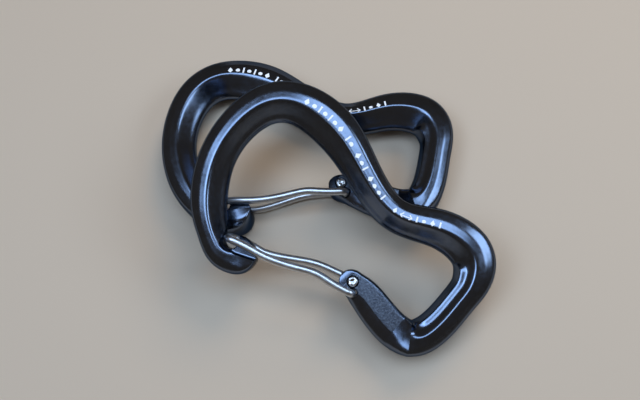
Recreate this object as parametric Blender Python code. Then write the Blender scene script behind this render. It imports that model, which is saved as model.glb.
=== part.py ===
"""A pair of small forged wiregate snap hooks, one lying across the other.

Each hook is a ribbed aluminium frame with a large bow at the nose end and a small
basket at the hinge end, closed by a gate bent from one length of steel wire.
The lower hook lies flat. The upper one leans on it and touches the ground at its basket.
Lengths are in millimetres until a mesh is made, and each hook is drawn in its own
plane: x runs from nose to hinge, y from gate to spine, z across the thickness.
"""

import math

import bmesh
import bpy
import numpy as np
from mathutils import Matrix, Vector

MM = 0.001

# Where each hook lies: its place, its turn in its own plane, and its two tilts.
LOWER = {"at": (5.59, 2.73, 5.3), "turn": 10.1, "tilt_x": 0.0, "tilt_y": 0.0}
UPPER = {"at": (4.44, -24.32, 10.5), "turn": -18.4, "tilt_x": 17.5, "tilt_y": -1.8}

# Frame: the centreline as (x, y, width), from the nose round the bow to the hinge arm.
CENTRELINE = [
    (-24.2, 1.4, 9.8),
    (-28.6, 1.3, 10.0),
    (-32.8, 2.1, 9.4),
    (-36.1, 6.3, 8.2),
    (-38.6, 14.1, 9.3),
    (-37.6, 27.1, 9.4),
    (-29.8, 38.9, 10.1),
    (-19.6, 41.5, 10.9),
    (-10.0, 36.8, 11.5),
    (-2.6, 28.9, 9.8),
    (7.6, 18.2, 8.7),
    (19.6, 15.9, 10.0),
    (29.0, 10.9, 11.0),
    (29.8, 3.8, 9.5),
    (27.0, -1.8, 8.6),
    (17.5, -12.2, 9.1),
    (6.1, -5.4, 8.8),
    (1.2, -1.4, 6.9),
    (-2.1, 1.2, 6.1),
]
BAR_THICKNESS = 10.6
ARM_THICKNESS = 6.0
ARM_LENGTH = 19.0  # flat part of the hinge arm, measured from its tip
RAMP_LENGTH = 5.0  # rise from the flat arm to the full bar
RIBS_START = 8.0  # the nose is rounded up to here, and the ribs are full a little later
RIBS_FULL = 15.0
END_WIDTH = 0.12  # least share of the width that a round end narrows to
END_THICKNESS = 0.82  # share of the thickness left at the very ends
STATIONS = 84
CAP_STATIONS = 6
SHARP_ANGLE = 35.0

# Upper half of three cross-sections, as (across, height) from the outer edge to the
# inner one, as shares of the width and of half the thickness. The other half mirrors it.
RIBBED = [
    (0.0, 0.30),
    (0.07, 0.68),
    (0.26, 1.0),
    (0.38, 0.86),
    (0.49, 0.96),
    (0.68, 0.78),
    (0.88, 0.45),
    (1.0, 0.18),
]
ROUNDED = [
    (0.0, 0.30),
    (0.08, 0.70),
    (0.22, 0.95),
    (0.38, 1.0),
    (0.55, 1.0),
    (0.74, 0.95),
    (0.92, 0.72),
    (1.0, 0.30),
]
FLAT = [
    (0.0, 0.35),
    (0.06, 0.72),
    (0.15, 1.0),
    (0.36, 1.0),
    (0.58, 1.0),
    (0.80, 1.0),
    (0.93, 0.94),
    (1.0, 0.55),
]

# Nose: a slot takes the gate's crossbar, and both faces are relieved for its legs.
SLOT_CENTRE = (-31.15, 4.6)
SLOT_RADIUS = 1.95
SLOT_TOP = 10.0
SLOT_STEPS = 9
TONGUE_THICKNESS = 6.0
SHOULDER = [(-33.6, 3.4), (-29.7, 1.6), (-22.0, 0.3)]

# Gate: one wire, whose legs pivot in two holes a little apart, so that it springs shut.
WIRE_RADIUS = 1.0
LEG_HEIGHT = 4.27
TOP_HOLE = (0.9, -3.5)
BOTTOM_HOLE = (0.65, -0.5)
TOP_LEG = [
    (-31.9, 5.35),
    (-26.6, 3.8),
    (-21.6, 2.1),
    (-15.0, 0.9),
    (-9.2, 0.2),
    (-4.6, -1.6),
    TOP_HOLE,
]
BOTTOM_LEG = [
    (-31.9, 5.35),
    (-26.6, 4.1),
    (-22.6, 2.7),
    (-16.0, 2.3),
    (-9.6, 2.1),
    (-4.0, 0.8),
    BOTTOM_HOLE,
]
CROSSBAR_BEND = 1.6
HOLE_BEND = 1.07
LEG_POINTS = 16
BEND_POINTS = 4
BEND_ROOM = 0.5  # no other point of the leg comes closer than this to a bend

# Peened ends of the wire, which stay in the frame's holes.
HOLE_RADIUS = 1.25
HEAD_RADIUS = 1.25
HEAD_BASE = 3.2
HEAD_RISE = 0.5
HEAD_PROFILE = [(1.0, 0.1), (0.96, 0.6), (0.66, 1.0)]  # shares of the radius and the rise
PIN_END = 2.9
ROUND_SIDES = 16

BLACK = (0.012, 0.013, 0.016, 1.0)
STEEL = (0.62, 0.63, 0.65, 1.0)


def natural_spline(points):
    """The smooth curve through the points, as a function of a parameter from 0 to 1."""
    points = np.array(points, float)
    last = len(points) - 1
    matrix = 4.0 * np.eye(last + 1)
    matrix[0, 0] = matrix[last, last] = 2.0
    for i in range(last):
        matrix[i, i + 1] = matrix[i + 1, i] = 1.0
    rise = np.zeros_like(points)
    rise[1:-1] = 3.0 * (points[2:] - points[:-2])
    rise[0] = 3.0 * (points[1] - points[0])
    rise[-1] = 3.0 * (points[-1] - points[-2])
    slope = np.linalg.solve(matrix, rise)

    def at(parameter):
        place = min(max(parameter, 0.0), 1.0) * last
        i = min(int(place), last - 1)
        t = place - i
        start, end = points[i], points[i + 1]
        span = end - start
        return (
            start
            + slope[i] * t
            + (3.0 * span - 2.0 * slope[i] - slope[i + 1]) * t**2
            + (slope[i] + slope[i + 1] - 2.0 * span) * t**3
        )

    return at


def even_steps(curve, fractions, samples=1200):
    """Curve points at the given fractions of its length, with the length itself."""
    points = np.array([curve(i / samples) for i in range(samples + 1)])
    steps = np.hypot(*np.diff(points[:, :2], axis=0).T)
    travelled = np.concatenate([[0.0], np.cumsum(steps)])
    length = travelled[-1]
    wanted = np.array(fractions) * length
    found = np.stack([np.interp(wanted, travelled, column) for column in points.T], axis=1)
    return found, wanted, length


def smooth_rise(value, start, end):
    share = min(max((value - start) / (end - start), 0.0), 1.0)
    return share * share * (3.0 - 2.0 * share)


def blend(first, second, share):
    return [
        (a[0] + (b[0] - a[0]) * share, a[1] + (b[1] - a[1]) * share)
        for a, b in zip(first, second)
    ]


def end_roundness(distance, radius):
    """Share of the full width that a round end has left, this far from its tip."""
    inside = min(distance / radius, 1.0)
    return max(math.sqrt(1.0 - (1.0 - inside) ** 2), END_WIDTH)


def station_fractions(length, tip_radius, tail_radius):
    """Even stations along the bar, with more of them round both ends."""
    quarter = np.linspace(0.0, math.pi / 2.0, CAP_STATIONS, endpoint=False)
    tip = tip_radius * (1.0 - np.cos(quarter)) / length
    tail = 1.0 - tail_radius * (1.0 - np.cos(quarter)) / length
    middle = np.linspace(tip_radius / length, 1.0 - tail_radius / length, STATIONS)
    return np.concatenate([tip, middle, tail[::-1]])


def section_at(from_tip, from_tail):
    """Upper half of the section, with half its thickness."""
    ribbed = smooth_rise(from_tip, RIBS_START, RIBS_FULL)
    section = blend(ROUNDED, RIBBED, ribbed)
    flat = 1.0 - smooth_rise(from_tail, ARM_LENGTH, ARM_LENGTH + RAMP_LENGTH)
    section = blend(section, FLAT, flat)
    half = 0.5 * (BAR_THICKNESS + (ARM_THICKNESS - BAR_THICKNESS) * flat)
    return section, half


def frame_rings():
    """One ring of points for each station along the bar."""
    curve = natural_spline(CENTRELINE)
    length = even_steps(curve, [1.0])[2]
    tip_radius = CENTRELINE[0][2] / 2.0
    tail_radius = CENTRELINE[-1][2] / 2.0
    fractions = station_fractions(length, tip_radius, tail_radius)
    stations, travelled, length = even_steps(curve, fractions)
    ahead = np.gradient(stations[:, :2], axis=0)
    ahead /= np.hypot(*ahead.T)[:, None]
    rings = []
    for (x, y, width), (ahead_x, ahead_y), distance in zip(stations, ahead, travelled):
        from_tail = length - distance
        roundness = min(end_roundness(distance, tip_radius), end_roundness(from_tail, tail_radius))
        section, half = section_at(distance, from_tail)
        outward = np.array([-ahead_y, ahead_x])
        half *= END_THICKNESS + (1.0 - END_THICKNESS) * roundness
        upper = []
        for across, height in section:
            place = np.array([x, y]) + outward * (0.5 - across) * width * roundness
            upper.append((place[0], place[1], height * half))
        lower = [(px, py, -pz) for px, py, pz in reversed(upper)]
        rings.append(upper + lower)
    return rings


def mesh_from(name, bm):
    """A finished mesh in metres, from a bmesh in millimetres."""
    bmesh.ops.scale(bm, vec=(MM, MM, MM), verts=bm.verts)
    bmesh.ops.recalc_face_normals(bm, faces=bm.faces)
    mesh = bpy.data.meshes.new(name)
    bm.to_mesh(mesh)
    bm.free()
    mesh.shade_smooth()
    mesh.set_sharp_from_angle(angle=math.radians(SHARP_ANGLE))
    return mesh


def loft(name, rings):
    """A closed solid through rings of equal count, which no primitive gives."""
    bm = bmesh.new()
    loops = [[bm.verts.new(point) for point in ring] for ring in rings]
    for near, far in zip(loops, loops[1:]):
        for i in range(len(near)):
            j = (i + 1) % len(near)
            bm.faces.new((near[i], near[j], far[j], far[i]))
    bm.faces.new(loops[0][::-1])
    bm.faces.new(loops[-1])
    return mesh_from(name, bm)


def prism(name, outline, low, high):
    """A flat outline raised from one height to another."""
    bm = bmesh.new()
    base = bm.faces.new([bm.verts.new((x, y, low)) for x, y in outline])
    raised = bmesh.ops.extrude_face_region(bm, geom=[base])
    top = [item for item in raised["geom"] if isinstance(item, bmesh.types.BMVert)]
    bmesh.ops.translate(bm, verts=top, vec=(0.0, 0.0, high - low))
    return mesh_from(name, bm)


def round_bar(name, centre, radius, low, high):
    bm = bmesh.new()
    place = Matrix.Translation((centre[0], centre[1], (low + high) / 2.0))
    bmesh.ops.create_cone(
        bm,
        cap_ends=True,
        segments=ROUND_SIDES,
        radius1=radius,
        radius2=radius,
        depth=high - low,
        matrix=place,
    )
    return mesh_from(name, bm)


def slot_outline():
    """The nose slot: a round bottom and two straight sides open to the inside."""
    x, y = SLOT_CENTRE
    turns = np.linspace(math.pi, 2.0 * math.pi, SLOT_STEPS)
    bottom = [(x + SLOT_RADIUS * math.cos(a), y + SLOT_RADIUS * math.sin(a)) for a in turns]
    return bottom + [(x + SLOT_RADIUS, SLOT_TOP), (x - SLOT_RADIUS, SLOT_TOP)]


def frame_cutters():
    """Meshes that cut the nose slot, the relief on each face, and the two holes."""
    beyond = BAR_THICKNESS
    relief = SHOULDER + [(SHOULDER[-1][0], SLOT_TOP), (SHOULDER[0][0], SLOT_TOP)]
    tongue = TONGUE_THICKNESS / 2.0
    return [
        prism("cut_slot", slot_outline(), -beyond, beyond),
        prism("cut_relief_top", relief, tongue, beyond),
        prism("cut_relief_bottom", relief, -beyond, -tongue),
        round_bar("cut_hole_top", TOP_HOLE, HOLE_RADIUS, -beyond, beyond),
        round_bar("cut_hole_bottom", BOTTOM_HOLE, HOLE_RADIUS, -beyond, beyond),
    ]


def hinge_axis():
    """The gate turns about the point midway between its two holes."""
    return tuple((a + b) / 2.0 for a, b in zip(TOP_HOLE, BOTTOM_HOLE))


def leg_route(points, height):
    curve = natural_spline(points)
    places = even_steps(curve, np.linspace(0.0, 1.0, LEG_POINTS))[0]
    return [Vector((x, y, height)) for x, y in places]


def bend(corner, arrive, leave, radius):
    """Points round a right-angled bend of the wire, on a circle inside the corner."""
    centre = corner - arrive * radius + leave * radius
    points = []
    for step in range(1, BEND_POINTS + 1):
        angle = math.pi / 2.0 * step / (BEND_POINTS + 1)
        points.append(centre - leave * radius * math.cos(angle) + arrive * radius * math.sin(angle))
    return points


def half_gate(points, height):
    """One leg from the middle of the crossbar to the mouth of its hole."""
    leg = leg_route(points, height)
    side = Vector((0.0, 0.0, math.copysign(1.0, height)))
    into_leg = (leg[1] - leg[0]).normalized()
    into_hole = (leg[-1] - leg[-2]).normalized()
    kept = [p for p in leg[1:-1] if (p - leg[0]).length > CROSSBAR_BEND + BEND_ROOM]
    kept = [p for p in kept if (p - leg[-1]).length > HOLE_BEND + BEND_ROOM]
    crossbar_start = leg[0] - side * CROSSBAR_BEND
    leg_start = leg[0] + into_leg * CROSSBAR_BEND
    leg_end = leg[-1] - into_hole * HOLE_BEND
    hole_mouth = leg[-1] - side * HOLE_BEND
    route = [crossbar_start] + bend(leg[0], side, into_leg, CROSSBAR_BEND) + [leg_start]
    route += kept + [leg_end] + bend(leg[-1], into_hole, -side, HOLE_BEND) + [hole_mouth]
    return route


def gate_mesh():
    """The wire as a bevelled curve, made a mesh about the hinge axis."""
    top = half_gate(TOP_LEG, LEG_HEIGHT)
    bottom = half_gate(BOTTOM_LEG, -LEG_HEIGHT)
    route = top[::-1] + bottom
    axis = Vector((*hinge_axis(), 0.0))
    data = bpy.data.curves.new("wire_route", "CURVE")
    data.dimensions = "3D"
    data.bevel_depth = WIRE_RADIUS * MM
    data.bevel_resolution = 3
    data.use_fill_caps = True
    spline = data.splines.new("POLY")
    spline.points.add(len(route) - 1)
    for point, place in zip(spline.points, route):
        point.co = (*((place - axis) * MM), 1.0)
    guide = bpy.data.objects.new("wire_route", data)
    bpy.context.scene.collection.objects.link(guide)
    depsgraph = bpy.context.evaluated_depsgraph_get()
    mesh = bpy.data.meshes.new_from_object(guide.evaluated_get(depsgraph))
    bpy.data.objects.remove(guide)
    bm = bmesh.new()
    bm.from_mesh(mesh)
    bmesh.ops.remove_doubles(bm, verts=bm.verts, dist=1e-6)
    bmesh.ops.recalc_face_normals(bm, faces=bm.faces)
    bm.to_mesh(mesh)
    bm.free()
    mesh.name = "wire_gate"
    mesh.shade_smooth()
    return mesh


def pivot_end_mesh(name, centre, side):
    """A wire end in its hole, with a peened head on the side given as 1 or -1."""
    profile = [(WIRE_RADIUS, -PIN_END), (WIRE_RADIUS, HEAD_BASE)]
    profile += [(HEAD_RADIUS * wide, HEAD_BASE + HEAD_RISE * up) for wide, up in HEAD_PROFILE]
    x, y = centre
    turns = np.linspace(0.0, 2.0 * math.pi, ROUND_SIDES, endpoint=False)
    rings = []
    for radius, height in profile:
        ring = [(x + radius * math.cos(a), y + radius * math.sin(a), side * height) for a in turns]
        rings.append(ring)
    return loft(name, rings)


def material(name, colour, roughness):
    made = bpy.data.materials.new(name)
    made.use_nodes = True
    shader = made.node_tree.nodes["Principled BSDF"]
    shader.inputs["Base Color"].default_value = colour
    shader.inputs["Metallic"].default_value = 1.0
    shader.inputs["Roughness"].default_value = roughness
    return made


def place_object(name, data, parent, collection, finish=None, location=(0.0, 0.0, 0.0)):
    made = bpy.data.objects.new(name, data)
    collection.objects.link(made)
    made.parent = parent
    made.location = location
    if finish:
        made.data.materials.clear()
        made.data.materials.append(finish)
    return made


def rest_pose(pose):
    tilt = Matrix.Rotation(math.radians(pose["tilt_x"]), 4, "X")
    tilt = tilt @ Matrix.Rotation(math.radians(pose["tilt_y"]), 4, "Y")
    turn = Matrix.Rotation(math.radians(pose["turn"]), 4, "Z")
    return Matrix.Translation(Vector(pose["at"]) * MM) @ tilt @ turn


def build_hook(which, pose, meshes, finishes, parts, cutters):
    """One hook: an empty that holds it, its frame, its gate and the two wire ends."""
    hook = place_object(which + "_hook", None, None, parts)
    hook.matrix_world = rest_pose(pose)
    frame = place_object(which + "_frame", meshes["frame"].copy(), hook, parts, finishes["aluminium"])
    for cutter_mesh in meshes["cutters"]:
        cutter = place_object(f"{which}_{cutter_mesh.name}", cutter_mesh, hook, cutters)
        cutter.hide_render = True
        cutter.display_type = "WIRE"
        cut = frame.modifiers.new(cutter_mesh.name, "BOOLEAN")
        cut.operation = "DIFFERENCE"
        cut.object = cutter
    axis = Vector((*hinge_axis(), 0.0)) * MM
    place_object(which + "_wire_gate", meshes["gate"], hook, parts, finishes["steel"], axis)
    for side in ("top", "bottom"):
        place_object(f"{which}_pivot_end_{side}", meshes["pivot_" + side], hook, parts, finishes["steel"])


def main():
    for old in list(bpy.data.objects):
        bpy.data.objects.remove(old, do_unlink=True)
    parts = bpy.data.collections.new("snap_hook_pair")
    cutters = bpy.data.collections.new("cutters")
    for collection in (parts, cutters):
        bpy.context.scene.collection.children.link(collection)
    finishes = {
        "aluminium": material("black_anodised_aluminium", BLACK, 0.22),
        "steel": material("polished_stainless_wire", STEEL, 0.18),
    }
    meshes = {
        "frame": loft("frame", frame_rings()),
        "cutters": frame_cutters(),
        "gate": gate_mesh(),
        "pivot_top": pivot_end_mesh("pivot_top", BOTTOM_HOLE, 1.0),
        "pivot_bottom": pivot_end_mesh("pivot_bottom", TOP_HOLE, -1.0),
    }
    build_hook("lower", LOWER, meshes, finishes, parts, cutters)
    build_hook("upper", UPPER, meshes, finishes, parts, cutters)


main()
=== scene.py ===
import math

import bmesh
import bpy
from mathutils import Matrix, Vector


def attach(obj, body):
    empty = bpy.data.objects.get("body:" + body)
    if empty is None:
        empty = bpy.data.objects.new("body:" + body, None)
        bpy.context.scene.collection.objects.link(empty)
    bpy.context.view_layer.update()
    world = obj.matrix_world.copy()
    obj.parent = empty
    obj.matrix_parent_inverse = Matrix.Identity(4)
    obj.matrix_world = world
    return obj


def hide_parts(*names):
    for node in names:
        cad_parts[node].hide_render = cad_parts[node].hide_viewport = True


# A pair of small forged wiregate hooks, one leaning across the other.
# Lengths are in millimetres until a piece is finished. Each hook is drawn in its own plane:
# x runs from nose to hinge, y from gate to spine, z across the thickness.

mm = 0.001  # metres in a millimetre
closeEnough = 1e-4  # millimetres, as is the next
mergeWithin = 1e-5

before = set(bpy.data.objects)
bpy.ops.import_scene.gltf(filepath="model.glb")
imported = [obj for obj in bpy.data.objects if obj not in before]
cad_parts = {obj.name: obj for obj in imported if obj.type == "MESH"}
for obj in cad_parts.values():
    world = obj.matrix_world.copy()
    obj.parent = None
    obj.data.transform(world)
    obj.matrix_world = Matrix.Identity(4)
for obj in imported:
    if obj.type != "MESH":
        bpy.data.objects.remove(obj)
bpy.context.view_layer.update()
print("frame loaded,", len(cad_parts), "nodes")

# where each hook lies on the floor, in millimetres and degrees
hookPose = {
    "lower": {"at": (5.59, 2.73, 5.3), "turn": 10.1, "tiltX": 0.0, "tiltY": 0.0},
    "upper": {"at": (4.44, -24.32, 10.5), "turn": -18.4, "tiltX": 17.5, "tiltY": -1.8},
}


def hookMatrix(which):
    pose = hookPose[which]
    tilt = Matrix.Rotation(math.radians(pose["tiltX"]), 4, "X")
    tilt = tilt @ Matrix.Rotation(math.radians(pose["tiltY"]), 4, "Y")
    turn = Matrix.Rotation(math.radians(pose["turn"]), 4, "Z")
    return Matrix.Translation(Vector(pose["at"])) @ tilt @ turn


def smoothRise(value, start, end):
    share = min(max((value - start) / (end - start), 0.0), 1.0)
    return share * share * (3.0 - 2.0 * share)


def mixSections(first, second, share):
    return [(a[0] + (b[0] - a[0]) * share, a[1] + (b[1] - a[1]) * share) for a, b in zip(first, second)]


def splineRoute(points, steps=60):
    # natural spline through the points, as evenly spaced places with the distance travelled
    count = len(points)
    size = len(points[0])
    lower, diagonal = [0.0] * count, [4.0] * count
    diagonal[0] = diagonal[-1] = 2.0
    slopes = []
    for k in range(size):
        values = [p[k] for p in points]
        rise = [3.0 * (values[min(i + 1, count - 1)] - values[max(i - 1, 0)]) for i in range(count)]
        spread, turned = [0.0] * count, [0.0] * count
        spread[0], turned[0] = 1.0 / diagonal[0], rise[0] / diagonal[0]
        for i in range(1, count):
            scale = 1.0 / (diagonal[i] - spread[i - 1])
            spread[i] = scale
            turned[i] = (rise[i] - turned[i - 1]) * scale
        slope = [0.0] * count
        slope[-1] = turned[-1]
        for i in range(count - 2, -1, -1):
            slope[i] = turned[i] - spread[i] * slope[i + 1]
        slopes.append(slope)
    route = []
    for i in range(count - 1):
        for step in range(steps):
            t = step / steps
            place = []
            for k in range(size):
                a, b = points[i][k], points[i + 1][k]
                s, e = slopes[k][i], slopes[k][i + 1]
                place.append(a + s * t + (3 * (b - a) - 2 * s - e) * t * t + (s + e - 2 * (b - a)) * t**3)
            route.append(place)
    route.append(list(points[-1]))
    travelled = [0.0]
    for near, far in zip(route, route[1:]):
        travelled.append(travelled[-1] + math.hypot(far[0] - near[0], far[1] - near[1]))
    return route, travelled


def placeAt(route, travelled, distance):
    low, high = 0, len(travelled) - 1
    while high - low > 1:
        middle = (low + high) // 2
        if travelled[middle] <= distance:
            low = middle
        else:
            high = middle
    share = (distance - travelled[low]) / max(travelled[high] - travelled[low], 1e-9)
    share = min(max(share, 0.0), 1.0)
    return [a + (b - a) * share for a, b in zip(route[low], route[high])]


def barAt(route, travelled, distance, reach=0.4):
    # the route's values at a distance along it, and the way from the gate's side to the spine's there
    here = placeAt(route, travelled, distance)
    near, far = placeAt(route, travelled, distance - reach), placeAt(route, travelled, distance + reach)
    ahead = Vector((far[0] - near[0], far[1] - near[1])).normalized()
    return here, Vector((-ahead.y, ahead.x))


def finishedMesh(name, bm):
    bmesh.ops.remove_doubles(bm, verts=bm.verts, dist=mergeWithin)
    bmesh.ops.recalc_face_normals(bm, faces=bm.faces)
    mesh = bpy.data.meshes.new(name)
    bm.to_mesh(mesh)
    bm.free()
    return mesh


def addObject(name, mesh):
    piece = bpy.data.objects.new(name, mesh)
    bpy.context.scene.collection.objects.link(piece)
    return piece


def evaluatedMesh(piece):
    bpy.context.view_layer.update()
    graph = bpy.context.evaluated_depsgraph_get()
    return bpy.data.meshes.new_from_object(piece.evaluated_get(graph), depsgraph=graph)


def applyModifiers(piece):
    mesh = evaluatedMesh(piece)
    piece.modifiers.clear()
    piece.data = mesh


def settle(piece, which, sharpAngle):
    # from the hook's own plane in millimetres to its place in metres
    piece.data.transform(Matrix.Scale(mm, 4) @ hookMatrix(which))
    piece.data.shade_smooth()
    piece.data.set_sharp_from_angle(angle=math.radians(sharpAngle))


# The route is (x, y, width) from the nose's tip to the hinge's. Other values are in millimetres,
# and a span of two or four is a distance along the bar over which a shape comes in and goes.
forged = {
    "route": [
        (-24.2, 1.4, 9.8), (-28.6, 1.3, 10.0), (-32.8, 2.1, 9.4), (-36.1, 6.3, 8.2),
        (-38.6, 14.1, 9.3), (-37.6, 27.1, 9.4), (-29.8, 38.9, 10.1), (-19.6, 41.5, 10.9),
        (-10.0, 36.8, 11.5), (-2.6, 28.9, 9.8), (7.6, 18.2, 8.7), (19.6, 15.9, 10.0),
        (29.0, 10.9, 11.0), (29.8, 3.8, 9.5), (27.0, -1.8, 8.6), (17.5, -12.2, 9.1),
        (6.1, -5.4, 8.8), (1.2, -1.4, 6.9), (-2.1, 1.2, 6.1),
    ],
    "halfThick": 5.3,
    "armHalf": 3.0,
    "armHalf": 3.0,
    "armLength": 19.0,
    "rampLength": 4.4,
    "creaseGap": 0.3,  # no other ring is nearer than this to the ramp's two creases
    "ribs": (1.5, 8.0),  # from the nose's tip
    "ribsEnd": (22.5, 28.0),  # from the hinge's tip
    "basketFacet": (121.0, 125.0, 143.0, 149.0),  # facet of the small basket's inner flank
    "squareSpine": (58.0, 66.0, 94.0, 104.0),  # steeper outer flank along the spine
    "armFlank": (1.0, 9.0),  # from the hinge's tip, where the arm's outer flank grows broad
    "stations": 130,
    "capStations": 6,
    "endWidth": 0.12,  # share of the full size left at the very ends
    "endThick": 0.82,
    "sharpAngle": 22.0,
    # upper half of each section, outer edge to inner edge: share of the width, share of the half thickness
    "ribbed": [
        (0.0, 0.12), (0.005, 0.38), (0.03, 0.58), (0.08, 0.70), (0.15, 0.765), (0.22, 0.83), (0.28, 0.885),
        (0.31, 0.905), (0.35, 0.923), (0.39, 0.941), (0.43, 0.96), (0.475, 0.98), (0.525, 0.985), (0.58, 0.90),
        (0.67, 0.735), (0.76, 0.57), (0.835, 0.43), (0.885, 0.36), (0.94, 0.27), (1.0, 0.14),
    ],
    "basket": [
        (0.0, 0.12), (0.005, 0.38), (0.03, 0.58), (0.08, 0.70), (0.15, 0.765), (0.22, 0.83), (0.28, 0.885),
        (0.31, 0.905), (0.35, 0.923), (0.39, 0.941), (0.43, 0.96), (0.475, 0.98), (0.525, 0.985), (0.59, 0.90),
        (0.69, 0.75), (0.735, 0.72), (0.795, 0.70), (0.865, 0.68), (0.885, 0.60), (1.0, 0.14),
    ],
    "spine": [
        (0.0, 0.12), (0.005, 0.36), (0.02, 0.50), (0.06, 0.575), (0.11, 0.66), (0.16, 0.745), (0.21, 0.83),
        (0.25, 0.885), (0.30, 0.91), (0.355, 0.928), (0.41, 0.95), (0.47, 0.98), (0.525, 0.985), (0.58, 0.90),
        (0.67, 0.735), (0.76, 0.57), (0.835, 0.43), (0.885, 0.36), (0.94, 0.27), (1.0, 0.14),
    ],
    "rounded": [
        (0.0, 0.14), (0.005, 0.46), (0.03, 0.72), (0.07, 0.88), (0.12, 0.96), (0.17, 0.99), (0.22, 1.0),
        (0.28, 1.0), (0.34, 1.0), (0.40, 1.0), (0.46, 1.0), (0.52, 1.0), (0.58, 1.0), (0.64, 1.0),
        (0.70, 1.0), (0.77, 0.985), (0.84, 0.935), (0.90, 0.82), (0.96, 0.58), (1.0, 0.14),
    ],
    "armTip": [
        (0.0, 0.20), (0.005, 0.60), (0.03, 0.90), (0.07, 1.00), (0.10, 1.00), (0.14, 1.00), (0.20, 1.00),
        (0.27, 1.00), (0.34, 1.00), (0.41, 1.00), (0.48, 1.00), (0.55, 1.00), (0.62, 1.00), (0.69, 1.00),
        (0.76, 1.00), (0.83, 1.00), (0.90, 1.00), (0.95, 0.975), (0.985, 0.84), (1.0, 0.24),
    ],
    "armBroad": [
        (0.0, 0.14), (0.015, 0.32), (0.07, 0.50), (0.15, 0.66), (0.25, 0.81), (0.35, 0.92), (0.42, 0.98),
        (0.455, 1.00), (0.49, 1.00), (0.54, 1.00), (0.59, 1.00), (0.64, 1.00), (0.69, 1.00), (0.74, 1.00),
        (0.79, 1.00), (0.84, 1.00), (0.90, 1.00), (0.95, 0.975), (0.985, 0.84), (1.0, 0.24),
    ],
}

nose = {
    "slotCentre": (-31.15, 4.6),
    "slotRadius": 1.95,
    "slotTop": 10.0,
    "slotReach": 8.0,
    "slotSteps": 20,
    "tongueHalf": 3.0,
    "shoulder": [(-33.6, 3.4), (-29.7, 1.6), (-22.0, 0.3)],
    "rimFlare": 0.28,
    "reliefTop": 12.0,
    "reliefDeep": 6.0,
    "reliefFillet": 0.7,
    "filletSteps": 5,
}

pivot = {
    "topHole": (0.9, -3.5),
    "bottomHole": (0.65, -0.5),
    "holeRadius": 1.25,
    "drillLength": 14.0,
    "sinkRadius": 1.62,
    "sinkDepth": 0.35,
    "sinkAbove": 1.0,
    "sinkLip": 0.01,
    "sides": 40,
}


def along(distance, span):
    # one between the middle two distances of the span, fading to nothing at the outer two
    return smoothRise(distance, span[0], span[1]) * (1.0 - smoothRise(distance, span[2], span[3]))


def raisedBy(section, half):
    return [(across, high * half) for across, high in section]


def frameSection(fromTip, fromTail):
    ribs = smoothRise(fromTip, *forged["ribs"]) * smoothRise(fromTail, *forged["ribsEnd"])
    ribbed = mixSections(forged["ribbed"], forged["basket"], along(fromTip, forged["basketFacet"]))
    ribbed = mixSections(ribbed, forged["spine"], along(fromTip, forged["squareSpine"]))
    section = mixSections(forged["rounded"], ribbed, ribs)
    arm = mixSections(forged["armTip"], forged["armBroad"], smoothRise(fromTail, *forged["armFlank"]))
    rampEnd = forged["armLength"] + forged["rampLength"]
    flat = min(max((rampEnd - fromTail) / forged["rampLength"], 0.0), 1.0)
    return mixSections(raisedBy(section, forged["halfThick"]), raisedBy(arm, forged["armHalf"]), flat)


def barStations(length, tipRadius, tailRadius, creases):
    # where the rings go: close together round both ends, even between, and one on each crease
    capCount, count = forged["capStations"], forged["stations"]
    caps = [1.0 - math.cos(math.pi / 2.0 * i / capCount) for i in range(capCount)]
    stations = [tipRadius * cap for cap in caps]
    stations += [tipRadius + (length - tipRadius - tailRadius) * i / (count - 1) for i in range(count)]
    stations += [length - tailRadius * cap for cap in reversed(caps)]
    clear = [d for d in stations if min(abs(d - crease) for crease in creases) > forged["creaseGap"]]
    return sorted(clear + creases)


def nextRing(bm, ring, ringEdges):
    # a ring extruded from the last one, with its vertices in the same order
    drawn = bmesh.ops.extrude_edge_only(bm, edges=ringEdges)["geom"]
    drawnEdges = [item for item in drawn if isinstance(item, bmesh.types.BMEdge) and len(item.link_faces) == 1]
    made = {vert for edge in drawnEdges for vert in edge.verts}
    partner = {}
    for vert in made:
        for edge in vert.link_edges:
            other = edge.other_vert(vert)
            if other not in made:
                partner[other] = vert
    return [partner[vert] for vert in ring], drawnEdges


def frameCage(name):
    # a ring of vertices drawn out station by station along the bar, closed at both ends
    route, travelled = splineRoute(forged["route"])
    length = travelled[-1]
    tipRadius, tailRadius = forged["route"][0][2] / 2.0, forged["route"][-1][2] / 2.0
    creases = [length - forged["armLength"], length - forged["armLength"] - forged["rampLength"]]
    bm = bmesh.new()
    crease = bm.edges.layers.float.new("crease_edge")
    ring = bmesh.ops.create_circle(bm, segments=2 * len(forged["ribbed"]), radius=1.0)["verts"]
    ringEdges = list(bm.edges)
    firstEdges = ringEdges
    for index, distance in enumerate(barStations(length, tipRadius, tailRadius, creases)):
        if index:
            ring, ringEdges = nextRing(bm, ring, ringEdges)
        if distance in creases:
            for edge in ringEdges:
                edge[crease] = 1.0
        here, outward = barAt(route, travelled, distance)
        ends = []
        for gone, radius in ((distance, tipRadius), (length - distance, tailRadius)):
            inside = min(gone / radius, 1.0)
            ends.append(max(math.sqrt(max(1.0 - (1.0 - inside) ** 2, 0.0)), forged["endWidth"]))
        roundness = min(ends)
        thick = forged["endThick"] + (1.0 - forged["endThick"]) * roundness
        upper = frameSection(distance, length - distance)
        lower = [(across, -high) for across, high in reversed(upper)]
        for vert, (across, high) in zip(ring, upper + lower):
            place = Vector(here[:2]) + outward * (0.5 - across) * here[2] * roundness
            vert.co = (place.x, place.y, high * thick)
    bmesh.ops.edgeloop_fill(bm, edges=firstEdges)
    bmesh.ops.edgeloop_fill(bm, edges=ringEdges)
    return addObject(name, finishedMesh(name, bm))


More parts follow.
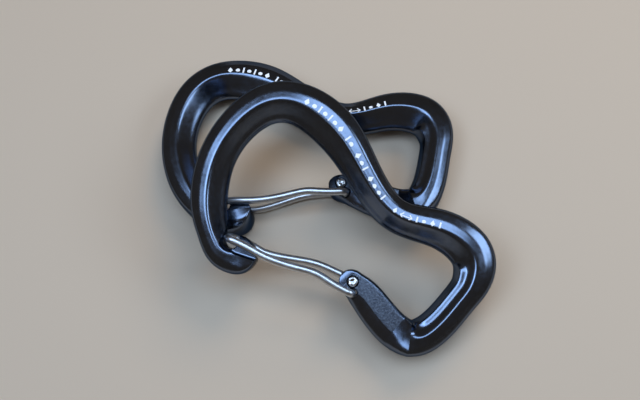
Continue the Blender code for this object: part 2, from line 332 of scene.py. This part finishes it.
def drawnPrism(name, outline, levels):
    # an outline raised through levels of (height, growth), growth moving it along its own normals
    bm = bmesh.new()
    count = len(outline)
    normals = []
    for i in range(count):
        before, after = Vector(outline[i - 1]), Vector(outline[(i + 1) % count])
        run = (after - before).normalized()
        normals.append(Vector((run.y, -run.x)))
    ring = [bm.verts.new((x, y, 0.0)) for x, y in outline]
    face = bm.faces.new(ring)
    for index, (height, growth) in enumerate(levels):
        if index:
            raised = bmesh.ops.extrude_face_region(bm, geom=[face])["geom"]
            if index > 1:  # only the first level keeps its face
                bmesh.ops.delete(bm, geom=[face], context="FACES_ONLY")
            face = [item for item in raised if isinstance(item, bmesh.types.BMFace)][0]
            ring = sorted(face.verts, key=lambda v: min(range(count), key=lambda k: (v.co - ring[k].co).length))
        for vert, (x, y), normal in zip(ring, outline, normals):
            vert.co = (x + normal.x * growth, y + normal.y * growth, height)
    return addObject(name, finishedMesh(name, bm))


def slotCutter():
    x, y = nose["slotCentre"]
    radius, flare, half = nose["slotRadius"], nose["rimFlare"], nose["tongueHalf"]
    turns = [math.pi + math.pi * i / nose["slotSteps"] for i in range(nose["slotSteps"] + 1)]
    outline = [(x + radius * math.cos(a), y + radius * math.sin(a)) for a in turns]
    outline += [(x + radius, nose["slotTop"]), (x - radius, nose["slotTop"])]
    growth = 2.0 * flare
    levels = [(-nose["slotReach"], growth), (-half - flare, growth), (-half + flare, 0.0)]
    levels += [(-height, widening) for height, widening in reversed(levels)]
    return drawnPrism("slotCutter", outline, levels)


def reliefCutter(side):
    # takes the nose down to its tongue, with a fillet where the cut ends
    shoulder, level = nose["shoulder"], nose["tongueHalf"]
    outline = shoulder + [(shoulder[-1][0], nose["reliefTop"]), (shoulder[0][0], nose["reliefTop"])]
    bm = bmesh.new()
    base = bm.faces.new([bm.verts.new((x, y, level)) for x, y in outline])
    drawn = bmesh.ops.extrude_face_region(bm, geom=[base])["geom"]
    topVerts = [item for item in drawn if isinstance(item, bmesh.types.BMVert)]
    bmesh.ops.translate(bm, verts=topVerts, vec=(0, 0, nose["reliefDeep"]))
    floorEdges = [edge for edge in bm.edges if all(abs(v.co.z - level) < closeEnough for v in edge.verts)]
    bmesh.ops.bevel(
        bm, geom=floorEdges, offset=nose["reliefFillet"], offset_type="OFFSET", segments=nose["filletSteps"],
        profile=0.5, affect="EDGES", material=-1,
    )
    if side < 0:
        bmesh.ops.scale(bm, vec=(1, 1, -1), verts=bm.verts)
    return addObject("reliefCutter", finishedMesh("reliefCutter", bm))


def drillCutter(name, centre, height, lowRadius, highRadius, depth):
    bm = bmesh.new()
    bmesh.ops.create_cone(
        bm, cap_ends=True, segments=pivot["sides"], radius1=lowRadius, radius2=highRadius, depth=depth,
        matrix=Matrix.Translation((*centre, height)),
    )
    return addObject(name, finishedMesh(name, bm))


def holeCutter(centre):
    radius = pivot["holeRadius"]
    return drillCutter("holeCutter", centre, 0.0, radius, radius, pivot["drillLength"])


def sinkCutter(centre, side):
    # a shallow cone in the arm's face, carried on above it
    deep, depth = pivot["sinkDepth"], pivot["sinkDepth"] + pivot["sinkAbove"]
    slope = (pivot["sinkRadius"] - pivot["holeRadius"]) / deep
    height = side * (forged["armHalf"] - deep + depth / 2.0)
    radii = (pivot["holeRadius"] - pivot["sinkLip"], pivot["holeRadius"] + slope * depth)
    return drillCutter("sinkCutter", centre, height, *(radii if side > 0 else radii[::-1]), depth)


satin = {
    "fromX": -10.0,  # the flat faces past here are the arm's, not the nose's
    "levelWithin": 0.03,
    "facingUp": 0.97,
    "roughness": (0.30, 0.44),
    "tones": ((0.09, 0.11, 0.15, 1.0), (0.22, 0.25, 0.30, 1.0)),
    "grain": {"scale": 2600.0, "detail": 2.0},
    "bump": {"strength": 0.5, "depth": 0.0001},
}


def buildFrame(which):
    piece = frameCage(which + "ForgedFrame")
    smooth = piece.modifiers.new("smooth", "SUBSURF")
    smooth.levels = smooth.render_levels = 1
    applyModifiers(piece)
    cutters = [reliefCutter(1), reliefCutter(-1), slotCutter()]
    for centre in (pivot["topHole"], pivot["bottomHole"]):
        cutters += [holeCutter(centre), sinkCutter(centre, 1), sinkCutter(centre, -1)]
    for cutter in cutters:
        cut = piece.modifiers.new("cut", "BOOLEAN")
        cut.operation = "DIFFERENCE"
        cut.solver = "EXACT"
        cut.object = cutter
        applyModifiers(piece)
        bpy.data.objects.remove(cutter)
    piece.data.materials.clear()
    piece.data.materials.append(blackAnodised)
    piece.data.materials.append(satinSlab)
    for face in piece.data.polygons:
        offLevel = abs(abs(face.center.z) - forged["armHalf"])
        level = offLevel < satin["levelWithin"] and abs(face.normal.z) > satin["facingUp"]
        face.material_index = 1 if level and face.center.x > satin["fromX"] else 0
    settle(piece, which, forged["sharpAngle"])
    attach(piece, which)
    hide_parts(which + "_frame")
    return piece


noiseSpan = (0.3, 0.7)  # the part of a noise that a tone or a roughness is spread over

anodised = {
    "tones": ((0.115, 0.140, 0.190, 1.0), (0.140, 0.165, 0.215, 1.0)),
    "edgeTint": (0.24, 0.26, 0.30, 1.0),
    "roughness": (0.17, 0.24),
    "cloud": {"scale": 160.0, "detail": 6.0},
    "fine": {"scale": 900.0, "detail": 3.0},
    "ripple": {"scale": 420.0, "detail": 2.0},
    "bump": {"strength": 0.05, "depth": 0.0004},
}

polished = {
    "tones": ((0.50, 0.50, 0.51, 1.0), (0.62, 0.62, 0.62, 1.0)),
    "roughness": (0.30, 0.38),
    "cloud": {"scale": 700.0, "detail": 3.0},
    "ripple": {"scale": 300.0, "detail": 2.0},
    "bump": {"strength": 0.04, "depth": 0.0002},
}

hammered = {
    "tones": ((0.55, 0.54, 0.52, 1.0), (0.80, 0.80, 0.80, 1.0)),
    "roughness": (0.18, 0.34),
    "dents": {"scale": 1300.0, "detail": 2.0},
    "bump": {"strength": 0.6, "depth": 0.0003},
}

ink = {
    "tones": ((0.90, 0.90, 0.91, 1.0), (0.98, 0.98, 0.98, 1.0)),
    "roughness": (0.45, 0.6),
    "speckle": {"scale": 2200.0, "detail": 3.0},
}


def newFinish(name):
    finish = bpy.data.materials.new(name)
    finish.use_nodes = True
    return finish, finish.node_tree.nodes["Principled BSDF"]


def objectNoise(finish, scale, detail):
    nodes, links = finish.node_tree.nodes, finish.node_tree.links
    spot = nodes.new("ShaderNodeTexCoord")
    cloud = nodes.new("ShaderNodeTexNoise")
    cloud.inputs["Scale"].default_value = scale
    cloud.inputs["Detail"].default_value = detail
    links.new(spot.outputs["Object"], cloud.inputs["Vector"])
    return cloud.outputs["Fac"]


def spreadTone(finish, shader, source, tones):
    nodes, links = finish.node_tree.nodes, finish.node_tree.links
    ramp = nodes.new("ShaderNodeValToRGB")
    for stop, tone, position in zip(ramp.color_ramp.elements, tones, noiseSpan):
        stop.color = tone
        stop.position = position
    links.new(source, ramp.inputs["Fac"])
    links.new(ramp.outputs["Color"], shader.inputs["Base Color"])


def spreadRoughness(finish, shader, source, roughness):
    nodes, links = finish.node_tree.nodes, finish.node_tree.links
    reach = nodes.new("ShaderNodeMapRange")
    for name, value in zip(("From Min", "From Max", "To Min", "To Max"), (*noiseSpan, *roughness)):
        reach.inputs[name].default_value = value
    links.new(source, reach.inputs["Value"])
    links.new(reach.outputs["Result"], shader.inputs["Roughness"])


def addBump(finish, shader, source, strength, depth):
    nodes, links = finish.node_tree.nodes, finish.node_tree.links
    bump = nodes.new("ShaderNodeBump")
    bump.inputs["Strength"].default_value = strength
    bump.inputs["Distance"].default_value = depth
    links.new(source, bump.inputs["Height"])
    links.new(bump.outputs["Normal"], shader.inputs["Normal"])


def makeBlackAnodised():
    finish, shader = newFinish("blackAnodised")
    shader.inputs["Metallic"].default_value = 1.0
    shader.inputs["Specular Tint"].default_value = anodised["edgeTint"]
    spreadTone(finish, shader, objectNoise(finish, **anodised["cloud"]), anodised["tones"])
    spreadRoughness(finish, shader, objectNoise(finish, **anodised["fine"]), anodised["roughness"])
    addBump(finish, shader, objectNoise(finish, **anodised["ripple"]), **anodised["bump"])
    return finish


def makeSatinSlab():
    finish, shader = newFinish("satinSlab")
    shader.inputs["Metallic"].default_value = 1.0
    shader.inputs["Specular Tint"].default_value = anodised["edgeTint"]
    grain = objectNoise(finish, **satin["grain"])
    spreadTone(finish, shader, grain, satin["tones"])
    spreadRoughness(finish, shader, grain, satin["roughness"])
    addBump(finish, shader, grain, **satin["bump"])
    return finish


def makePolishedWire():
    finish, shader = newFinish("polishedWire")
    shader.inputs["Metallic"].default_value = 1.0
    cloud = objectNoise(finish, **polished["cloud"])
    spreadTone(finish, shader, cloud, polished["tones"])
    spreadRoughness(finish, shader, cloud, polished["roughness"])
    addBump(finish, shader, objectNoise(finish, **polished["ripple"]), **polished["bump"])
    return finish


def makeHammeredEnd():
    finish, shader = newFinish("hammeredEnd")
    shader.inputs["Metallic"].default_value = 1.0
    dents = objectNoise(finish, **hammered["dents"])
    spreadTone(finish, shader, dents, hammered["tones"])
    spreadRoughness(finish, shader, dents, hammered["roughness"])
    addBump(finish, shader, dents, **hammered["bump"])
    return finish


def makeWhitePrint():
    finish, shader = newFinish("whitePrint")
    speckle = objectNoise(finish, **ink["speckle"])
    spreadTone(finish, shader, speckle, ink["tones"])
    spreadRoughness(finish, shader, speckle, ink["roughness"])
    return finish


blackAnodised = makeBlackAnodised()
satinSlab = makeSatinSlab()
polishedWire = makePolishedWire()
hammeredEnd = makeHammeredEnd()
whitePrint = makeWhitePrint()
print("finishes done")

# each leg of the gate runs from the crossbar behind the nose to its hole in the arm
wire = {
    "radius": 1.0,
    "height": 4.27,
    "topLeg": [
        (-31.9, 5.35), (-26.6, 3.8), (-21.6, 2.1), (-15.0, 0.9), (-9.2, 0.2), (-4.6, -1.6), (0.9, -3.5),
    ],
    "bottomLeg": [
        (-31.9, 5.35), (-26.6, 4.1), (-22.6, 2.7), (-16.0, 2.3), (-9.6, 2.1), (-4.0, 0.8), (0.65, -0.5),
    ],
    "crossbarBend": 1.6,
    "holeBend": 1.07,
    "bendClear": 0.2,
    "bendSteps": 9,
    "legSteps": 60,
    "roundSteps": 12,
    "sharpAngle": 32.0,
}


def roundedCorner(corner, arrive, leave, radius):
    # places round a right-angled bend, on a circle inside the corner
    centre = corner - arrive * radius + leave * radius
    angles = [math.pi / 2.0 * i / (wire["bendSteps"] + 1) for i in range(wire["bendSteps"] + 2)]
    return [centre - leave * radius * math.cos(a) + arrive * radius * math.sin(a) for a in angles]


def halfGate(points, side):
    route, travelled = splineRoute(points)
    height = side * wire["height"]
    steps = wire["legSteps"]
    leg = [Vector((*placeAt(route, travelled, travelled[-1] * i / steps), height)) for i in range(steps + 1)]
    outward = Vector((0.0, 0.0, side))
    intoLeg, intoHole = (leg[1] - leg[0]).normalized(), (leg[-1] - leg[-2]).normalized()
    bend, turn = wire["crossbarBend"], wire["holeBend"]
    fromBend, fromTurn = bend + wire["bendClear"], turn + wire["bendClear"]
    middle = [p for p in leg if (p - leg[0]).length > fromBend and (p - leg[-1]).length > fromTurn]
    start = roundedCorner(leg[0], outward, intoLeg, bend)
    return start + middle + roundedCorner(leg[-1], intoHole, -outward, turn)


def buildGate(which):
    path = halfGate(wire["topLeg"], 1.0)[::-1] + halfGate(wire["bottomLeg"], -1.0)
    data = bpy.data.curves.new("gateRoute", "CURVE")
    data.dimensions = "3D"
    data.bevel_depth = wire["radius"]
    data.bevel_resolution = wire["roundSteps"]
    data.use_fill_caps = True
    spline = data.splines.new("POLY")
    spline.points.add(len(path) - 1)
    for point, place in zip(spline.points, path):
        point.co = (*place, 1.0)
    guide = addObject("gateRoute", data)
    bm = bmesh.new()
    bm.from_mesh(evaluatedMesh(guide))
    bpy.data.objects.remove(guide)
    piece = addObject(which + "BentWireGate", finishedMesh("bentWireGate", bm))
    settle(piece, which, wire["sharpAngle"])
    piece.data.materials.clear()
    piece.data.materials.append(polishedWire)
    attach(piece, which + "_gate")
    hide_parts(which + "_wire_gate")


# the wire's ends, hammered over outside the arm; the profile is radius and height above the arm's middle
peened = {
    "profile": [
        (1.0, -2.9), (1.0, 2.7), (1.16, 3.02), (1.27, 3.16), (1.27, 3.38), (1.16, 3.56), (0.92, 3.67),
        (0.62, 3.70), (0.40, 3.64), (0.24, 3.50),
    ],
    "around": 40,
    "headFrom": 3.1,
    "dent": 0.035,
    "sidewaysShare": 0.6,
    "waves": ((1.0, 3, 4), (0.6, 5, -7)),  # size, turns round the head, phase with height
    "sharpAngle": 50.0,
}


def buildPeenedEnd(which, side, centre, node):
    bm = bmesh.new()
    profile = [bm.verts.new((radius, 0.0, height)) for radius, height in peened["profile"]]
    edges = [bm.edges.new(pair) for pair in zip(profile, profile[1:])]
    bmesh.ops.spin(
        bm, geom=profile + edges, cent=(0, 0, 0), axis=(0, 0, 1), dvec=(0, 0, 0), angle=2 * math.pi,
        steps=peened["around"], use_merge=True, use_duplicate=False,
    )
    bmesh.ops.holes_fill(bm, edges=[e for e in bm.edges if e.is_boundary], sides=0)
    for vert in bm.verts:  # uneven hammer marks round the head
        if vert.co.z > peened["headFrom"]:
            angle, high = math.atan2(vert.co.y, vert.co.x), vert.co.z
            swell = sum(size * math.sin(turns * angle + phase * high) for size, turns, phase in peened["waves"])
            vert.co.z += peened["dent"] * swell
            vert.co.x *= 1.0 + peened["dent"] * peened["sidewaysShare"] * swell
    if side < 0:
        bmesh.ops.scale(bm, vec=(1, 1, -1), verts=bm.verts)
    bmesh.ops.translate(bm, vec=(*centre, 0.0), verts=bm.verts)
    piece = addObject(node.replace("_pivot_end_", "PeenedEnd_"), finishedMesh("peenedEnd", bm))
    settle(piece, which, peened["sharpAngle"])
    piece.data.materials.append(hammeredEnd)
    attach(piece, which)
    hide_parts(node)


# generic printed signs along the spine, placed by their distance from the nose's tip
marks = {
    "start": 62.0,
    "across": 0.41,  # share of the bar's width from its outer edge
    "tall": 2.1,
    "stroke": 0.42,
    "thinStroke": 0.28,
    "dotShare": 0.28,  # half widths as shares of the height
    "dotSides": 16,
    "lozengeShare": 0.32,
    "arrowWidth": 1.7,
    "arrowHead": 0.42,
    "gap": 0.8,
    "lift": 0.03,
    "thick": 0.03,
    "words": [
        ["lozenge", "dot", "tick", "dot", "tick", "dot", "lozenge"],
        ["tick", "dot"],
        ["lozenge", "dot", "tick"],
        ["lozenge", "dot", "dot", "tick"],
    ],
    "signs": ["lozenge", "arrow", "tick", "dot", "lozenge", "tick"],
    "wordGap": 1.2,
    "signStart": 97.0,
    "signTall": 0.9,
    "signGap": 1.3,
    "cutRounds": 2,
    "longestEdge": 0.35,
    "startAbove": 1.0,
}


def flatShape(bm, kind, x, tall):
    # one mark lying in a plane, its left side at x; returns its width
    half, stroke = tall / 2.0, marks["stroke"]

    def slab(start, end, thick):
        # a straight stroke between two places
        run = Vector(end) - Vector(start)
        turn = Matrix.Rotation(math.atan2(run.y, run.x), 4, "Z")
        middle = Matrix.Translation(((start[0] + end[0]) / 2.0, (start[1] + end[1]) / 2.0, 0.0))
        shape = Matrix.Diagonal((run.length, thick, 1.0, 1.0))
        bmesh.ops.create_grid(bm, x_segments=4, y_segments=1, size=0.5, matrix=middle @ turn @ shape)

    def spot(centre, radius, sides, squash):
        shape = Matrix.Translation((centre, 0.0, 0.0)) @ Matrix.Diagonal((squash, 1.0, 1.0, 1.0))
        bmesh.ops.create_circle(bm, cap_ends=True, cap_tris=True, segments=sides, radius=radius, matrix=shape)

    if kind == "tick":
        slab((x + stroke / 2, -half), (x + stroke / 2, half), stroke)
        return stroke
    if kind == "dot":
        share = marks["dotShare"]
        spot(x + share * tall, share * tall, marks["dotSides"], 1.0)
        return 2 * share * tall
    if kind == "lozenge":
        share = marks["lozengeShare"]
        spot(x + share * tall, half, 4, 2 * share)
        return 2 * share * tall
    width, head = marks["arrowWidth"] * tall, marks["arrowHead"] * tall  # a double-headed arrow
    slab((x, 0.0), (x + width, 0.0), marks["thinStroke"])
    for tip, base in ((x, x + head), (x + width, x + width - head)):
        for side in (-1, 1):
            slab((tip, 0.0), (base, side * head), marks["thinStroke"])
    return width


def buildMarks(which, ground):
    bm = bmesh.new()
    at = marks["start"]
    for word in marks["words"]:
        for kind in word:
            at += flatShape(bm, kind, at, marks["tall"]) + marks["gap"]
        at += marks["wordGap"]
    at = marks["signStart"]
    for kind in marks["signs"]:
        at += flatShape(bm, kind, at, marks["tall"] * marks["signTall"]) + marks["gap"] * marks["signGap"]
    bmesh.ops.recalc_face_normals(bm, faces=bm.faces)
    for _ in range(marks["cutRounds"]):
        longEdges = [edge for edge in bm.edges if edge.calc_length() > marks["longestEdge"]]
        bmesh.ops.subdivide_edges(bm, edges=longEdges, cuts=1, use_grid_fill=True)
    route, travelled = splineRoute(forged["route"])
    for vert in bm.verts:
        distance, offset = vert.co.x, vert.co.y
        here, outward = barAt(route, travelled, distance)
        place = Vector(here[:2]) + outward * ((0.5 - marks["across"]) * here[2] + offset)
        vert.co = (place.x, place.y, forged["halfThick"] + marks["startAbove"])
    piece = addObject(which + "PrintedMarks", finishedMesh("printedMarks", bm))
    for face in piece.data.polygons:
        if face.normal.z < 0:
            face.flip()
    piece.data.transform(Matrix.Scale(mm, 4) @ hookMatrix(which))
    wrap = piece.modifiers.new("lieOn", "SHRINKWRAP")
    wrap.target = ground
    wrap.wrap_method = "NEAREST_SURFACEPOINT"
    wrap.wrap_mode = "ABOVE_SURFACE"
    wrap.offset = marks["lift"] * mm
    thick = piece.modifiers.new("inkDepth", "SOLIDIFY")
    thick.thickness = marks["thick"] * mm
    thick.offset = 0.0
    applyModifiers(piece)
    piece.data.materials.clear()
    piece.data.materials.append(whitePrint)
    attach(piece, which)


for which in ("lower", "upper"):
    forgedFrame = buildFrame(which)
    buildGate(which)
    buildPeenedEnd(which, 1, pivot["bottomHole"], which + "_pivot_end_top")
    buildPeenedEnd(which, -1, pivot["topHole"], which + "_pivot_end_bottom")
    buildMarks(which, forgedFrame)
    print(which, "hook done")

# lights stand in metres and watts, the camera's distance and target are in millimetres
studio = {
    "floorSize": 3.0,
    "floorColour": (0.57, 0.45, 0.33, 1.0),
    "floorRoughness": 0.8,
    "worldColour": (1.0, 0.80, 0.62, 1.0),
    "worldStrength": 0.10,
    "lights": {
        "sky": {
            "at": (-0.07, 0.04, 0.60), "size": (0.74, 0.26), "power": 3.0, "colour": (0.50, 0.70, 1.0),
            "mirrored": True, "overhead": True,
        },
        "eastSky": {
            "at": (0.46, -0.04, 0.37), "size": (0.36, 0.20), "power": 1.3, "colour": (0.55, 0.74, 1.0),
            "mirrored": True, "overhead": False,
        },
        "westSky": {
            "at": (-0.28, -0.11, 0.50), "size": (0.22, 0.22), "power": 0.65, "colour": (0.50, 0.70, 1.0),
            "mirrored": True, "overhead": False,
        },
        "warmKey": {
            "at": (0.34, 0.46, 0.50), "size": (0.34, 0.34), "power": 1.9, "colour": (1.0, 0.82, 0.60),
            "mirrored": False, "overhead": False,
        },
    },
    "target": (0.09, 1.64, 0.0),
    "elevation": 69.9,
    "roll": 9.36,
    "distance": 206.5,
    "lens": 41.8,
    "sensor": 36.0,
    "clipStart": 0.01,
}


def buildFloor():
    bm = bmesh.new()
    bmesh.ops.create_grid(bm, x_segments=1, y_segments=1, size=studio["floorSize"] / 2.0)
    floor = addObject("floor", finishedMesh("floor", bm))
    finish, shader = newFinish("paleFloor")
    shader.inputs["Base Color"].default_value = studio["floorColour"]
    shader.inputs["Roughness"].default_value = studio["floorRoughness"]
    floor.data.materials.append(finish)


def lightStudio(scene):
    world = bpy.data.worlds.new("softWorld")
    world.use_nodes = True
    background = world.node_tree.nodes["Background"]
    background.inputs["Color"].default_value = studio["worldColour"]
    background.inputs["Strength"].default_value = studio["worldStrength"]
    scene.world = world
    for name, setting in studio["lights"].items():
        data = bpy.data.lights.new(name, "AREA")
        data.shape = "RECTANGLE"
        data.size, data.size_y = setting["size"]
        data.energy = setting["power"]
        data.color = setting["colour"]
        light = bpy.data.objects.new(name, data)
        scene.collection.objects.link(light)
        light.location = setting["at"]
        light.visible_glossy = setting["mirrored"]
        if not setting["overhead"]:  # the others are turned to face the hooks
            light.rotation_euler = Vector(setting["at"]).to_track_quat("Z", "Y").to_euler()


def placeCamera(scene):
    elevation, roll = math.radians(studio["elevation"]), math.radians(studio["roll"])
    back = Vector((0.0, -math.cos(elevation), math.sin(elevation)))
    right = Vector((1.0, 0.0, 0.0))
    up = back.cross(right)
    across = right * math.cos(roll) - up * math.sin(roll)
    upright = right * math.sin(roll) + up * math.cos(roll)
    turn = Matrix((across, upright, back)).transposed().to_4x4()
    data = bpy.data.cameras.new("camera")
    data.lens = studio["lens"]
    data.sensor_width = studio["sensor"]
    data.clip_start = studio["clipStart"]
    camera = bpy.data.objects.new("camera", data)
    scene.collection.objects.link(camera)
    camera.matrix_world = Matrix.Translation((Vector(studio["target"]) + back * studio["distance"]) * mm) @ turn
    scene.camera = camera


buildFloor()
lightStudio(bpy.context.scene)
placeCamera(bpy.context.scene)
bpy.context.scene.view_settings.view_transform = "Standard"
print("studio done")
